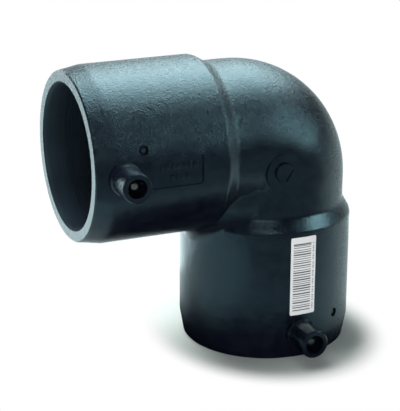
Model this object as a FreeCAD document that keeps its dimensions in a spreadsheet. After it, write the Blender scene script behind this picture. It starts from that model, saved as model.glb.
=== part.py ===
import FreeCAD, Part
import math
import os
import re

import Sketcher
from FreeCAD import Placement, Rotation, Vector

# A 90 degree electrofusion elbow. It stands on the mouth of its lower socket.
# The origin is the centre of that mouth, +Z is the lower socket's axis, and the
# upper socket opens towards -X. Both terminals look towards -Y.

DRIVING_SIZES = {
    # Legs, sockets and bend
    "leg_length": (96.0, "mouth of a socket to the axis of the other one"),
    "socket_radius": (39.4, "outside of a socket"),
    "shoulder_start": (60.4, "mouth to the edge of the shoulder"),
    "shoulder_length": (6.1, "length of the sloping shoulder"),
    "neck_radius": (35.8, "outside of the neck and of the bend"),
    "bend_radius": (18.0, "centre line of the bend"),
    "shoulder_edge": (0.7, "bevel on both sides of the shoulder's outer edge"),
    "shoulder_foot": (0.9, "bevel on both sides of the line where the shoulder meets the neck"),
    # Mouth
    "lip_radius": (37.7, "outside of the lip at the mouth"),
    "lip_length": (10.2, "length of the taper behind the lip"),
    "lip_edge": (0.6, "bevel of the lip's outer edge"),
    "lead_in_width": (1.0, "width of the lead-in chamfer on the bore"),
    "lead_in_depth": (2.3, "depth of the lead-in chamfer"),
    # Bore and passage
    "bore_radius": (31.9, "pipe bore"),
    "pipe_stop_depth": (60.0, "mouth to the stop for the pipe's end"),
    "passage_radius": (25.7, "waterway through the bend"),
    "corner_reach": (45.2, "bend centre to the waterway's rounded corner"),
    # Crotch between the sockets
    "crotch_fillet": (6.0, "fillet where the two sockets run together"),
    "crotch_sweep": (26.0, "radius of the shoulder line round the crotch"),
    "crotch_half_width": (24.0, "half the width of the filled crotch"),
    "crotch_ball_rise": (1.05, "how far a ball fills the valley between the necks"),
    # Winding and link
    "coil_start": (10.4, "mouth to the winding"),
    "coil_length": (37.0, "length of the winding"),
    "coil_thickness": (1.3, "coated wire, wound turn against turn"),
    "coil_sink": (0.15, "how far the winding lies below the bore"),
    "seat_gap": (0.02, "gap between a seated piece and its seat"),
    "link_width": (1.2, "link strip"),
    "link_thickness": (0.8, "link strip"),
    # Terminals
    "terminal_offset": (12.35, "mouth to the terminal's axis"),
    "shroud_radius": (6.5, "outside of the shroud"),
    "shroud_reach": (54.0, "socket axis to the shroud's rim"),
    "shroud_bore_radius": (4.25, "inside of the shroud"),
    "shroud_depth": (12.5, "depth of the shroud"),
    "shroud_rim_chamfer": (0.5, "chamfer outside the rim"),
    "collar_radius": (7.1, "collar at the foot of the shroud"),
    "collar_rise": (1.5, "socket surface to the collar's top"),
    # Contact pins
    "pin_radius": (2.0, "contact pin"),
    "pin_below_rim": (3.2, "rim to the pin's tip"),
    "pin_tip": (0.7, "bevel of the tip"),
    "pin_foot_radius": (2.9, "foot of the pin on the shroud's floor"),
    "pin_foot_height": (0.8, "height of the foot"),
    "stem_radius": (1.2, "stem through the wall to the winding"),
    # Fusion indicators
    "well_radius": (2.1, "indicator well"),
    "well_depth": (0.562, "depth of the well, as a share of the wall outside the winding"),
    "indicator_radius": (1.25, "indicator pin"),
    "indicator_foot_height": (0.7, "height of the foot"),
    "indicator_height": (2.7, "indicator from the well's floor to its tip"),
    "indicator_tip": (0.4, "bevel of the indicator's tip"),
    "upper_well_offset": (21.4, "mouth to the upper well"),
    "upper_well_angle": (16.0, "degrees from the terminal round the socket"),
    "lower_well_offset": (17.2, "mouth to the lower well"),
    "lower_well_angle": (30.0, "degrees from the terminal round the socket"),
    # Panel on the upper socket
    "panel_start": (24.0, "mouth to the panel"),
    "panel_length": (24.2, "panel along the socket"),
    "panel_width": (13.3, "panel across the socket"),
    "panel_floor": (38.3, "socket axis to the panel's flat floor"),
    "panel_corner": (1.6, "corner radius of the panel"),
    # Dial on the bend
    "dial_offset": (7.7, "socket axes to the dial's centre"),
    "dial_radius": (8.6, "pad of the dial"),
    "dial_face": (36.1, "mid plane to the pad's face"),
    "dial_disc_radius": (4.2, "disc in the dial"),
    "dial_disc_rise": (0.35, "height of the disc above the pad"),
    "dial_moat_radius": (4.7, "sunk circle beside the disc"),
    "dial_moat_shift": (0.75, "offset of the sunk circle"),
    "dial_moat_depth": (0.9, "depth of the sunk circle"),
    "dial_slot_length": (6.4, "pointer slot"),
    "dial_slot_width": (0.8, "pointer slot"),
    "dial_slot_depth": (0.7, "pointer slot below the disc"),
    "dial_slot_offset": (2.6, "disc centre to the slot"),
    "dial_slot_angle": (57.0, "degrees of the slot from level"),
    # Label on the lower socket
    "label_width": (12.4, "label round the socket"),
    "label_height": (37.0, "label along the socket"),
    "label_start": (21.4, "mouth to the label's lower edge"),
    "label_shift": (0.75, "label centre from the terminal's plane"),
    "label_corner": (1.2, "corner radius of the label"),
    "label_thickness": (0.15, "label film"),
}

LEGS = ("lower", "upper")
X_AXIS = Vector(1, 0, 0)
Y_AXIS = Vector(0, 1, 0)
Z_AXIS = Vector(0, 0, 1)
FULL_TURN = 360.0
QUARTER_TURN = 90.0
SECTION_STEP = 30
SKETCH_X_AXIS = -1
SKETCH_Y_AXIS = -2
FIRST_ROUND = 0.05
WALL_OVER_WINDING = "(socket_radius - bore_radius - coil_sink - coil_thickness)"

doc = FreeCAD.newDocument("electrofusion_elbow")


def write_sheet():
    """Puts the driving sizes in a sheet, one alias for each."""
    sheet = doc.addObject("Spreadsheet::Sheet", "Sizes")
    for row, (alias, (value, meaning)) in enumerate(DRIVING_SIZES.items(), start=1):
        sheet.set(f"A{row}", alias)
        sheet.set(f"B{row}", str(value))
        sheet.set(f"C{row}", meaning)
        sheet.setAlias(f"B{row}", alias)
    doc.recompute()
    return sheet


sheet = write_sheet()


def size(alias):
    """The number that the sheet holds under this alias."""
    return float(sheet.get(alias))


def sized(expression):
    """Turns the words of the sheet in an expression into references to its cells."""
    return re.sub(
        r"[a-z][a-z_]*",
        lambda word: f"Sizes.{word.group()}" if word.group() in DRIVING_SIZES else word.group(),
        expression,
    )


def bind(obj, **expressions):
    """Binds properties to the sheet. Two underscores stand for a dot."""
    for name, expression in expressions.items():
        obj.setExpression(name.replace("__", "."), sized(expression))
    return obj


def make(kind, name, **expressions):
    return bind(doc.addObject(kind, name), **expressions)


def leg_turn(leg):
    """Turns a leg's own frame, whose +Z runs inwards from the mouth, into place."""
    return Rotation(Y_AXIS, QUARTER_TURN) if leg == "upper" else Rotation()


def put_on_leg(obj, leg, along="0 * leg_length", turn=Rotation()):
    """Puts an object on a leg's axis at a distance from the mouth."""
    obj.Placement = Placement(Vector(), leg_turn(leg).multiply(turn))
    if leg == "upper":
        bind(obj, Placement__Base__x=f"{along} - leg_length", Placement__Base__z="leg_length")
    else:
        bind(obj, Placement__Base__z=along)
    return obj


def outward(leg, degrees=0.0):
    """Turns +Z to point out of the socket, at an angle from -Y towards the bend's outside."""
    round_the_leg = Rotation(X_AXIS, -degrees) if leg == "upper" else Rotation(Z_AXIS, degrees)
    return round_the_leg.multiply(Rotation(X_AXIS, QUARTER_TURN))


def put_outward(obj, leg, along, degrees=0.0):
    """Stands an object on the leg's axis with its +Z pointing out of the socket."""
    obj.Placement = Placement(Vector(), outward(leg, degrees))
    if leg == "upper":
        bind(obj, Placement__Base__x=f"{along} - leg_length", Placement__Base__z="leg_length")
    else:
        bind(obj, Placement__Base__z=along)
    return obj


def bind_constraint(sketch, constraint, expression):
    """Adds a dimension to a sketch and binds it to the sheet."""
    held = sketch.addConstraint(constraint)
    sketch.setExpression(f"Constraints[{held}]", sized(expression))


def add_polygon(sketch, corners):
    """Draws a closed outline. A corner is two expressions, and a third one if it is rounded."""
    count = len(corners)
    start = [
        Vector(math.cos(2 * math.pi * i / count), math.sin(2 * math.pi * i / count), 0)
        for i in range(count)
    ]
    for i in range(count):
        sketch.addGeometry(Part.LineSegment(start[i], start[(i + 1) % count]))
    for i in range(count):
        sketch.addConstraint(Sketcher.Constraint("Coincident", i, 2, (i + 1) % count, 1))
    for i, corner in enumerate(corners):
        for kind, axis, coordinate, expression in (
            ("DistanceX", SKETCH_Y_AXIS, start[i].x, corner[0]),
            ("DistanceY", SKETCH_X_AXIS, start[i].y, corner[1]),
        ):
            if expression == "0":
                sketch.addConstraint(Sketcher.Constraint("PointOnObject", i, 1, axis))
            else:
                distance = Sketcher.Constraint(kind, -1, 1, i, 1, coordinate)
                bind_constraint(sketch, distance, expression)
    doc.recompute()
    for i, corner in enumerate(corners):
        if len(corner) == 3:
            sketch.fillet(i, 1, FIRST_ROUND, True, True)
            arcs = [k for k, item in enumerate(sketch.Geometry) if item.TypeId == "Part::GeomArcOfCircle"]
            bind_constraint(sketch, Sketcher.Constraint("Radius", arcs[-1], FIRST_ROUND), corner[2])


def outline(name, corners):
    """A free sketch of a closed outline."""
    sketch = doc.addObject("Sketcher::SketchObject", name)
    add_polygon(sketch, corners)
    return sketch


def turned(name, corners):
    """A solid turned about Z from an outline of radius and height."""
    sketch = outline(name + "_outline", corners)
    sketch.Placement = Placement(Vector(), Rotation(X_AXIS, QUARTER_TURN))
    solid = doc.addObject("Part::Revolution", name)
    solid.Source = sketch
    solid.Axis = Z_AXIS
    solid.Angle = FULL_TURN
    solid.Solid = True
    return solid


def nearest_edge(shape, point):
    """The number of the edge that passes nearest to a point."""
    vertex = Part.Vertex(point)
    distances = [vertex.distToShape(edge)[0] if edge.Length > 1e-6 else 1e9 for edge in shape.Edges]
    return distances.index(min(distances)) + 1


def rounded(name, base, picks):
    """A body that takes a solid and rounds its edges. Each pick is a radius and points on edges."""
    body = doc.addObject("PartDesign::Body", name)
    body.BaseFeature = base
    doc.recompute()
    for number, (radius, points) in enumerate(picks):
        feature = body.Tip
        edges = [f"Edge{nearest_edge(feature.Shape, point)}" for point in points]
        fillet = body.newObject("PartDesign::Fillet", f"{name}_round_{number}")
        fillet.Base = (feature, edges)
        bind(fillet, Radius=radius)
        body.Tip = fillet
        doc.recompute()
    return body


def joined(name, parts):
    fusion = doc.addObject("Part::MultiFuse", name)
    fusion.Shapes = parts
    return fusion


def cut(name, base, tool):
    result = doc.addObject("Part::Cut", name)
    result.Base = base
    result.Tool = tool
    return result


def common(name, parts):
    result = doc.addObject("Part::MultiCommon", name)
    result.Shapes = parts
    return result


# Outside of the moulding


def socket_blank(leg):
    """Lip, taper, socket, shoulder and neck of one leg, solid."""
    slope = "(socket_radius - neck_radius) / shoulder_length"
    foot = "shoulder_start + shoulder_length"
    blank = turned(
        f"socket_{leg}",
        [
            ("0", "0"),
            ("lip_radius - lip_edge", "0"),
            ("lip_radius", "lip_edge"),
            ("socket_radius", "lip_length"),
            ("socket_radius", "shoulder_start - shoulder_edge"),
            (f"socket_radius - shoulder_edge * {slope}", "shoulder_start + shoulder_edge"),
            (f"neck_radius + shoulder_foot * {slope}", f"{foot} - shoulder_foot"),
            ("neck_radius", f"{foot} + shoulder_foot"),
            ("neck_radius", "leg_length - bend_radius"),
            ("0", "leg_length - bend_radius"),
        ],
    )
    return put_on_leg(blank, leg)


def bend_outside():
    """A quarter of a ring. Its section is a circle, cut off at the axis that it turns about."""
    radius = size("neck_radius")
    centre = Vector(0, size("bend_radius"), 0)
    cut_angle = math.degrees(math.asin(centre.y / radius))
    angles = [-cut_angle, *range(0, 181, SECTION_STEP), 180 + cut_angle]
    sketch = doc.addObject("Sketcher::SketchObject", "bend_section")
    circle = Part.Circle(centre, Z_AXIS, radius)
    arcs = range(len(angles) - 1)
    for i in arcs:
        span = (math.radians(angles[i]), math.radians(angles[i + 1]))
        sketch.addGeometry(Part.ArcOfCircle(circle, *span))
    reach = math.sqrt(radius**2 - centre.y**2)
    sketch.addGeometry(Part.LineSegment(Vector(-reach, 0, 0), Vector(reach, 0, 0)))
    chord = len(arcs)
    sketch.addConstraint(Sketcher.Constraint("PointOnObject", 0, 3, SKETCH_Y_AXIS))
    bind_constraint(sketch, Sketcher.Constraint("DistanceY", -1, 1, 0, 3, centre.y), "bend_radius")
    bind_constraint(sketch, Sketcher.Constraint("Radius", 0, radius), "neck_radius")
    for i in arcs[1:]:
        sketch.addConstraint(Sketcher.Constraint("Coincident", 0, 3, i, 3))
        sketch.addConstraint(Sketcher.Constraint("Coincident", i - 1, 2, i, 1))
        if angles[i] % 180 == 0:
            level = Sketcher.Constraint("DistanceY", -1, 1, i, 1, centre.y)
            bind_constraint(sketch, level, "bend_radius")
        elif angles[i] == 90:
            sketch.addConstraint(Sketcher.Constraint("PointOnObject", i, 1, SKETCH_Y_AXIS))
        else:
            across = math.cos(math.radians(angles[i]))
            offset = Sketcher.Constraint("DistanceX", -1, 1, i, 1, radius * across)
            bind_constraint(sketch, offset, f"neck_radius * {across:.12f}")
    sketch.addConstraint(Sketcher.Constraint("PointOnObject", 0, 1, SKETCH_X_AXIS))
    sketch.addConstraint(Sketcher.Constraint("PointOnObject", arcs[-1], 2, SKETCH_X_AXIS))
    sketch.addConstraint(Sketcher.Constraint("Coincident", arcs[-1], 2, chord, 1))
    sketch.addConstraint(Sketcher.Constraint("Coincident", chord, 2, 0, 1))
    sketch.Placement = Placement(Vector(), Rotation(Vector(1, 1, 1), 120))
    bind(
        sketch,
        Placement__Base__x="-bend_radius",
        Placement__Base__z="leg_length - bend_radius",
    )
    ring = make(
        "Part::Revolution",
        "bend_outside",
        Base__x="-bend_radius",
        Base__z="leg_length - bend_radius",
    )
    ring.Source = sketch
    ring.Axis = Y_AXIS
    ring.Angle = QUARTER_TURN
    ring.Solid = True
    return ring


def crotch_fill():
    """The smooth saddle that closes the groove between the two shoulders on the inside."""
    bars = []
    for leg in LEGS:
        bar = make("Part::Cylinder", f"crotch_bar_{leg}", Radius="socket_radius", Height="leg_length")
        bars.append(put_on_leg(bar, leg))
    crossing = joined("crotch_crossing", bars)
    slab = make(
        "Part::Box",
        "crotch_slab",
        Length="leg_length - shoulder_start + crotch_sweep",
        Width="2 * crotch_half_width",
        Height="leg_length - shoulder_start + crotch_sweep",
        Placement__Base__x="-2 * (leg_length - shoulder_start)",
        Placement__Base__y="-crotch_half_width",
        Placement__Base__z="2 * shoulder_start - leg_length",
    )
    corner = common("crotch_corner", [crossing, slab])
    inside = Vector(-size("socket_radius"), 0, size("leg_length") - size("socket_radius"))
    saddle = rounded("crotch_saddle", corner, [("crotch_fillet", [inside])])
    window = make(
        "Part::Cylinder",
        "crotch_window",
        Radius="crotch_sweep",
        Height="2 * crotch_half_width",
        Placement__Base__x="crotch_sweep - leg_length + shoulder_start",
        Placement__Base__y="crotch_half_width",
        Placement__Base__z="shoulder_start + crotch_sweep",
    )
    window.Placement.Rotation = Rotation(X_AXIS, QUARTER_TURN)
    return cut("crotch_fill", saddle, window)


def crotch_ball():
    """A ball about the bend's centre. It fills the valley where the two necks meet."""
    return make(
        "Part::Sphere",
        "crotch_ball",
        Radius="sqrt(neck_radius ^ 2 - bend_radius ^ 2) + crotch_ball_rise",
        Placement__Base__x="-bend_radius",
        Placement__Base__z="leg_length - bend_radius",
    )


def shroud_blank(leg):
    """A terminal's shroud with its collar, solid, rooted in the socket's wall."""
    root = "(bore_radius + socket_radius) / 2"
    rim_edge = "shroud_radius - shroud_rim_chamfer"
    shroud = turned(
        f"shroud_{leg}",
        [
            ("0", root),
            ("collar_radius", root),
            ("collar_radius", "socket_radius + collar_rise"),
            ("shroud_radius", "socket_radius + collar_rise + collar_radius - shroud_radius"),
            ("shroud_radius", "shroud_reach - shroud_rim_chamfer"),
            (rim_edge, "shroud_reach"),
            ("0", "shroud_reach"),
        ],
    )
    return put_outward(shroud, leg, "terminal_offset")


def on_the_bends_side(obj, across="0", up="0"):
    """Stands an object on the mid plane behind the dial, its +Z pointing out of the bend's side."""
    obj.Placement = Placement(Vector(), Rotation(X_AXIS, QUARTER_TURN))
    return bind(
        obj,
        Placement__Base__x=f"{across} - dial_offset",
        Placement__Base__z=f"leg_length - dial_offset + {up}",
    )


def dial_pad():
    """The flat round pad of the dial."""
    pad = make("Part::Cylinder", "dial_pad", Radius="dial_radius", Height="dial_face")
    return on_the_bends_side(pad)


# Hollows of the moulding


def bore_tool(leg):
    """Lead-in, pipe bore, recess for the winding and pipe stop of one leg."""
    seat = "bore_radius + coil_sink + coil_thickness"
    recess_end = "coil_start + coil_length + seat_gap"
    tool = turned(
        f"bore_{leg}",
        [
            ("0", "0"),
            ("bore_radius + lead_in_width", "0"),
            ("bore_radius", "lead_in_depth"),
            ("bore_radius", "coil_start - seat_gap"),
            (seat, "coil_start - seat_gap"),
            (seat, recess_end),
            ("bore_radius", recess_end),
            ("bore_radius", "pipe_stop_depth"),
            ("0", "pipe_stop_depth"),
        ],
    )
    return put_on_leg(tool, leg)


def waterway():
    """Two round ways that meet on the mitre, with the outer corner rounded to a ball."""
    span = "2 * socket_radius"
    side = outline(
        "mitre_outline",
        [
            (f"-{span}", f"leg_length - {span}"),
            (span, f"leg_length + {span}"),
            (f"-{span}", f"leg_length + {span}"),
        ],
    )
    side.Placement = Placement(Vector(), Rotation(X_AXIS, QUARTER_TURN))
    mitre = make("Part::Extrusion", "mitre", LengthFwd=span)
    mitre.Base = side
    mitre.DirMode = "Normal"
    mitre.Symmetric = True
    mitre.Solid = True
    ways = {}
    for leg in LEGS:
        way = make(
            "Part::Cylinder",
            f"way_{leg}",
            Radius="passage_radius",
            Height="leg_length + passage_radius - pipe_stop_depth",
        )
        ways[leg] = put_on_leg(way, leg, "pipe_stop_depth")
    lower = cut("way_below_mitre", ways["lower"], mitre)
    upper = common("way_above_mitre", [ways["upper"], mitre])
    corner = make(
        "Part::Box",
        "corner_block",
        Length="bend_radius + 2 * passage_radius",
        Width="4 * passage_radius",
        Height="bend_radius + 2 * passage_radius",
        Placement__Base__x="-bend_radius",
        Placement__Base__y="-2 * passage_radius",
        Placement__Base__z="leg_length - bend_radius",
    )
    ball = make(
        "Part::Sphere",
        "corner_ball",
        Radius="corner_reach",
        Placement__Base__x="-bend_radius",
        Placement__Base__z="leg_length - bend_radius",
    )
    both = joined("mitred_ways", [lower, upper])
    return cut("waterway", both, cut("corner_rest", corner, ball))


def shroud_bore(leg):
    """The hollow of a shroud and the hole for the pin's stem."""
    floor = "shroud_reach - shroud_depth"
    tool = turned(
        f"shroud_bore_{leg}",
        [
            ("0", "bore_radius"),
            ("stem_radius", "bore_radius"),
            ("stem_radius", floor),
            ("shroud_bore_radius", floor),
            ("shroud_bore_radius", "shroud_reach"),
            ("0", "shroud_reach"),
        ],
    )
    return put_outward(tool, leg, "terminal_offset")


def well_tool(leg):
    """The well of a fusion indicator."""
    tool = make("Part::Cylinder", f"well_{leg}", Radius="well_radius", Height="socket_radius - bore_radius")
    tool.Placement = Placement(Vector(), outward(leg, size(f"{leg}_well_angle")))
    return stand_in_well(tool, leg)


def stand_in_well(obj, leg):
    """Puts an object's foot on the floor of a well, along the well's own axis."""
    direction = outward(leg, size(f"{leg}_well_angle")).multVec(Z_AXIS)
    reach = f"(socket_radius - well_depth * {WALL_OVER_WINDING})"
    bind(obj, Placement__Base__y=f"{direction.y:.12f} * {reach}")
    if leg == "upper":
        return bind(
            obj,
            Placement__Base__x="upper_well_offset - leg_length",
            Placement__Base__z=f"leg_length + {direction.z:.12f} * {reach}",
        )
    return bind(
        obj,
        Placement__Base__x=f"{direction.x:.12f} * {reach}",
        Placement__Base__z="lower_well_offset",
    )


def upright_block(name, length, width, height, corner=()):
    """A block centred on its own Z axis, with its standing edges rounded if a corner is named."""
    sketch = outline(
        name + "_outline",
        [
            (f"{across} * {length} / 2", f"{up} * {width} / 2", *corner)
            for across, up in ((-1, -1), (1, -1), (1, 1), (-1, 1))
        ],
    )
    block = make("Part::Extrusion", name, LengthFwd=height)
    block.Base = sketch
    block.DirMode = "Normal"
    block.Solid = True
    return block


def panel_tool():
    """The sunk panel on the side of the upper socket."""
    tool = upright_block("panel", "panel_length", "panel_width", "socket_radius", ("panel_corner",))
    tool.Placement = Placement(Vector(), Rotation(X_AXIS, QUARTER_TURN))
    return bind(
        tool,
        Placement__Base__x="panel_start + panel_length / 2 - leg_length",
        Placement__Base__y="-panel_floor",
        Placement__Base__z="leg_length",
    )


def dial_tools():
    """The sunk crescent and the pointer slot of the dial."""
    moat = make("Part::Cylinder", "dial_moat", Radius="dial_moat_radius", Height="dial_moat_depth + 2")
    on_the_bends_side(moat, "-dial_moat_shift", "dial_moat_shift")
    bind(moat, Placement__Base__y="dial_moat_depth - dial_face")
    disc = make("Part::Cylinder", "dial_disc_room", Radius="dial_disc_radius", Height="dial_face + 2")
    crescent = cut("dial_crescent", moat, on_the_bends_side(disc))
    slot = upright_block("dial_slot", "dial_slot_length", "dial_slot_width", "dial_slot_depth + 2")
    slope = math.radians(size("dial_slot_angle"))
    turn = Rotation(X_AXIS, QUARTER_TURN).multiply(Rotation(Z_AXIS, size("dial_slot_angle")))
    slot.Placement = Placement(Vector(), turn)
    bind(
        slot,
        Placement__Base__x=f"{math.sin(slope):.12f} * dial_slot_offset - dial_offset",
        Placement__Base__y="dial_slot_depth - dial_face - dial_disc_rise",
        Placement__Base__z=f"leg_length - dial_offset - {math.cos(slope):.12f} * dial_slot_offset",
    )
    return [crescent, slot]


def link_route(name, gap):
    """A flat strip through the wall on the far side, from one winding round the bend to the other."""
    end = f"(coil_start + coil_length + seat_gap - {gap})"
    half = f"(link_width / 2 + {gap})"
    route = outline(
        name + "_outline",
        [
            (f"-{half}", end),
            (half, end),
            (half, f"leg_length + {half}", f"bend_radius + {half}"),
            (f"{end} - leg_length", f"leg_length + {half}"),
            (f"{end} - leg_length", f"leg_length - {half}"),
            (f"-{half}", f"leg_length - {half}", f"bend_radius - {half}"),
        ],
    )
    route.Placement = Placement(Vector(), Rotation(X_AXIS, QUARTER_TURN))
    middle = "bore_radius + coil_sink + coil_thickness / 2"
    bind(route, Placement__Base__y=f"{middle} + link_thickness / 2 + {gap}")
    strip = make("Part::Extrusion", name, LengthFwd=f"link_thickness + 2 * {gap}")
    strip.Base = route
    strip.DirMode = "Normal"
    strip.Solid = True
    return strip


def elbow_body():
    """The whole moulding."""
    outside = [bend_outside(), joined("crotch", [crotch_fill(), crotch_ball()]), dial_pad()]
    outside += [socket_blank(leg) for leg in LEGS]
    outside += [shroud_blank(leg) for leg in LEGS]
    disc = make("Part::Cylinder", "dial_disc", Radius="dial_disc_radius", Height="dial_face + dial_disc_rise")
    outside.append(on_the_bends_side(disc))
    blank = joined("moulding_blank", outside)
    blank.Refine = False
    hollows = [waterway(), panel_tool()]
    hollows += dial_tools()
    hollows += [bore_tool(leg) for leg in LEGS]
    hollows += [shroud_bore(leg) for leg in LEGS]
    hollows += [well_tool(leg) for leg in LEGS]
    hollows.append(link_route("link_tunnel", "seat_gap"))
    body = cut("moulding", blank, joined("moulding_hollows", hollows))
    body.Label = "elbow_body"
    return body


# Separate pieces


def origin_plane(body, role):
    """One of a body's own origin planes."""
    return next(item for item in body.Origin.OriginFeatures if item.Role == role)


def turned_body(label, corners):
    """A body with one turned feature about its own Z axis."""
    body = doc.addObject("PartDesign::Body", label)
    body.Label = label
    sketch = body.newObject("Sketcher::SketchObject", label + "_outline")
    sketch.AttachmentSupport = [(origin_plane(body, "XZ_Plane"), "")]
    sketch.MapMode = "FlatFace"
    add_polygon(sketch, corners)
    turn = body.newObject("PartDesign::Revolution", label + "_turned")
    turn.Profile = sketch
    turn.ReferenceAxis = (sketch, ["V_Axis"])
    turn.Angle = FULL_TURN
    return body


def contact_pin(leg):
    """The terminal's pin: stem, foot and contact. It stands on the shroud's floor."""
    top = "shroud_depth - pin_below_rim"
    stem_end = "bore_radius + coil_sink + coil_thickness - shroud_reach + shroud_depth"
    stem = "stem_radius - seat_gap"
    body = turned_body(
        f"contact_pin_{leg}",
        [
            ("0", stem_end),
            (stem, stem_end),
            (stem, "0"),
            ("pin_foot_radius", "0"),
            ("pin_foot_radius", "pin_foot_height"),
            ("pin_radius", "pin_foot_height"),
            ("pin_radius", f"{top} - pin_tip"),
            ("pin_radius - pin_tip", top),
            ("0", top),
        ],
    )
    put_outward(body, leg, "terminal_offset")
    return bind(body, Placement__Base__y="shroud_depth - shroud_reach")


def fusion_indicator(leg):
    """The moulded pin in the well, on a foot that fills the well."""
    body = turned_body(
        f"fusion_indicator_{leg}",
        [
            ("0", "0"),
            ("well_radius - seat_gap", "0"),
            ("well_radius - seat_gap", "indicator_foot_height"),
            ("indicator_radius", "indicator_foot_height"),
            ("indicator_radius", "indicator_height - indicator_tip"),
            ("indicator_radius - indicator_tip", "indicator_height"),
            ("0", "indicator_height"),
        ],
    )
    body.Placement = Placement(Vector(), outward(leg, size(f"{leg}_well_angle")))
    return stand_in_well(body, leg)


def heating_coil(leg):
    """The winding of one socket. Its coated turns touch, and are one sleeve in the bore's wall."""
    inside = "bore_radius + coil_sink"
    outside = "bore_radius + coil_sink + coil_thickness - seat_gap"
    end = "coil_start + coil_length"
    coil = turned(
        f"coil_{leg}",
        [
            (inside, "coil_start"),
            (outside, "coil_start"),
            (outside, end),
            (inside, end),
        ],
    )
    coil.Label = f"heating_coil_{leg}"
    return put_on_leg(coil, leg)


def coil_link_wire():
    """The flat wire that joins the two windings."""
    wire = link_route("link", "0 * seat_gap")
    wire.Label = "coil_link_wire"
    return wire


def barcode_label():
    """A thin film wrapped on the lower socket, cut to a rectangle with round corners."""
    film = turned(
        "label_film",
        [
            ("socket_radius", "label_start - label_corner"),
            ("socket_radius + label_thickness", "label_start - label_corner"),
            ("socket_radius + label_thickness", "label_start + label_height + label_corner"),
            ("socket_radius", "label_start + label_height + label_corner"),
        ],
    )
    stamp = upright_block(
        "label_stamp", "label_width", "label_height", "2 * socket_radius", ("label_corner",)
    )
    stamp.Placement = Placement(Vector(), Rotation(X_AXIS, QUARTER_TURN))
    bind(
        stamp,
        Placement__Base__x="label_shift",
        Placement__Base__z="label_start + label_height / 2",
    )
    label = common("label", [film, stamp])
    label.Label = "barcode_label"
    return label


def check_and_write(nodes):
    """Stops if anything failed, and writes one file for each piece."""
    doc.recompute()
    for obj in doc.Objects:
        if "Invalid" in obj.State or "Error" in obj.State:
            raise RuntimeError(f"{obj.Label} failed: {obj.State}")
    os.makedirs("parts", exist_ok=True)
    for node in nodes:
        shape = node.Shape
        if shape.isNull() or not shape.isValid():
            raise RuntimeError(f"{node.Label} has no valid shape")
        box = shape.BoundBox
        print(
            f"{node.Label}: {len(shape.Solids)} solid, {len(shape.Faces)} faces,"
            f" {shape.Volume:.1f} mm3, x {box.XMin:.2f} {box.XMax:.2f},"
            f" y {box.YMin:.2f} {box.YMax:.2f}, z {box.ZMin:.2f} {box.ZMax:.2f}"
        )
        shape.exportStep(f"parts/{node.Label}.step")


pieces = [elbow_body(), coil_link_wire(), barcode_label()]
for leg in LEGS:
    pieces += [heating_coil(leg), contact_pin(leg), fusion_indicator(leg)]
check_and_write(pieces)
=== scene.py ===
import math
import random

import bpy
from bpy.props import FloatProperty, FloatVectorProperty, IntProperty, PointerProperty
from mathutils import Matrix, Vector


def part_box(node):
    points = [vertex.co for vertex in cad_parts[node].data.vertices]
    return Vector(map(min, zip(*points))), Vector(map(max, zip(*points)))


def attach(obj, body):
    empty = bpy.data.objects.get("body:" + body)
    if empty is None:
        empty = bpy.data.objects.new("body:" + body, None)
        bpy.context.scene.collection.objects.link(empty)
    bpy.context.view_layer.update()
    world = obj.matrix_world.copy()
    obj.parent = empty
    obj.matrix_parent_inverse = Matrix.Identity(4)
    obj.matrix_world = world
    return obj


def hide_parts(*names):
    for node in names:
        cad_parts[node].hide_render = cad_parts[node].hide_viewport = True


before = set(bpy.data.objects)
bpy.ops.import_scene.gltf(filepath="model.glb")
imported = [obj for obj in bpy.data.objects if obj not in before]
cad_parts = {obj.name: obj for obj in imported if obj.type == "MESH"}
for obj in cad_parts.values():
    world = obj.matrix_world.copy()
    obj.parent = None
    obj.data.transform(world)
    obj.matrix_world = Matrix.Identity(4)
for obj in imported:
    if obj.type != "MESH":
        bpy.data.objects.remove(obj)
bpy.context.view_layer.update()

bl_info = {
    "name": "Electrofusion elbow",
    "version": (1, 0, 0),
    "blender": (4, 5, 0),
    "location": "3D View > Sidebar > Elbow",
    "description": "Dresses a black polyethylene electrofusion elbow and sets it on a studio floor",
    "category": "Object",
}

LEGS = ("lower", "upper")
MM = 0.001
RIGHT_ANGLE = math.pi / 2
BODY = "root"
WHITE = (1, 1, 1)
SHADE_ANGLE = math.radians(35)

# Moulding: edges sharper than this stay sharp, and large faces lead the shading of small ones
SKIN_ANGLE = math.radians(32)
SKIN_WEIGHT = 80

# Small turned pieces: rounded edges
TURNED_EDGE = 0.12 * MM
TURNED_EDGE_STEPS = 3
TURNED_EDGE_ANGLE = math.radians(12)

# Their domed ends: each ring's radius and depth below the tip, as shares of the full radius
CONTACT_DOME = ((1.0, 0.32), (0.86, 0.10), (0.56, 0.0))
INDICATOR_DOME = ((1.0, 0.3), (0.70, 0.0))

# Windings: steps in one turn
WIRE_STEPS = 96

# Label: a vertex bevel's offset as a share of the corner's radius, the columns that let the
# sheet bend, the film's share of its full thickness and the lift of the ticks above it
CORNER_SHARE = 0.586
LABEL_COLUMNS = 10
FILM_SHARE = 0.9
PRINT_LIFT = 0.01 * MM
BAR_SEED = 11
BAR_WIDTHS = (1, 1, 1, 1.5, 2)
BAR_GAPS = (2, 2, 2.5, 3)

# Rows of marks on the panel, in millimetres: height above the socket's axis, shift of the
# first mark and the marks' widths
MARK_ROWS = (
    (2.3, 0.0, (1.5, 2.3, 1.5, 1.5, 2.3, 1.5, 2.3)),
    (-2.4, 4.6, (1.9, 1.2, 1.9, 1.9)),
)
MARK_CORNER = 0.16 * MM

# Dial: ticks round its centre and their rounded edges
DIAL_TICKS = 12
DIAL_TICK_CORNER = 0.07 * MM

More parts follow.
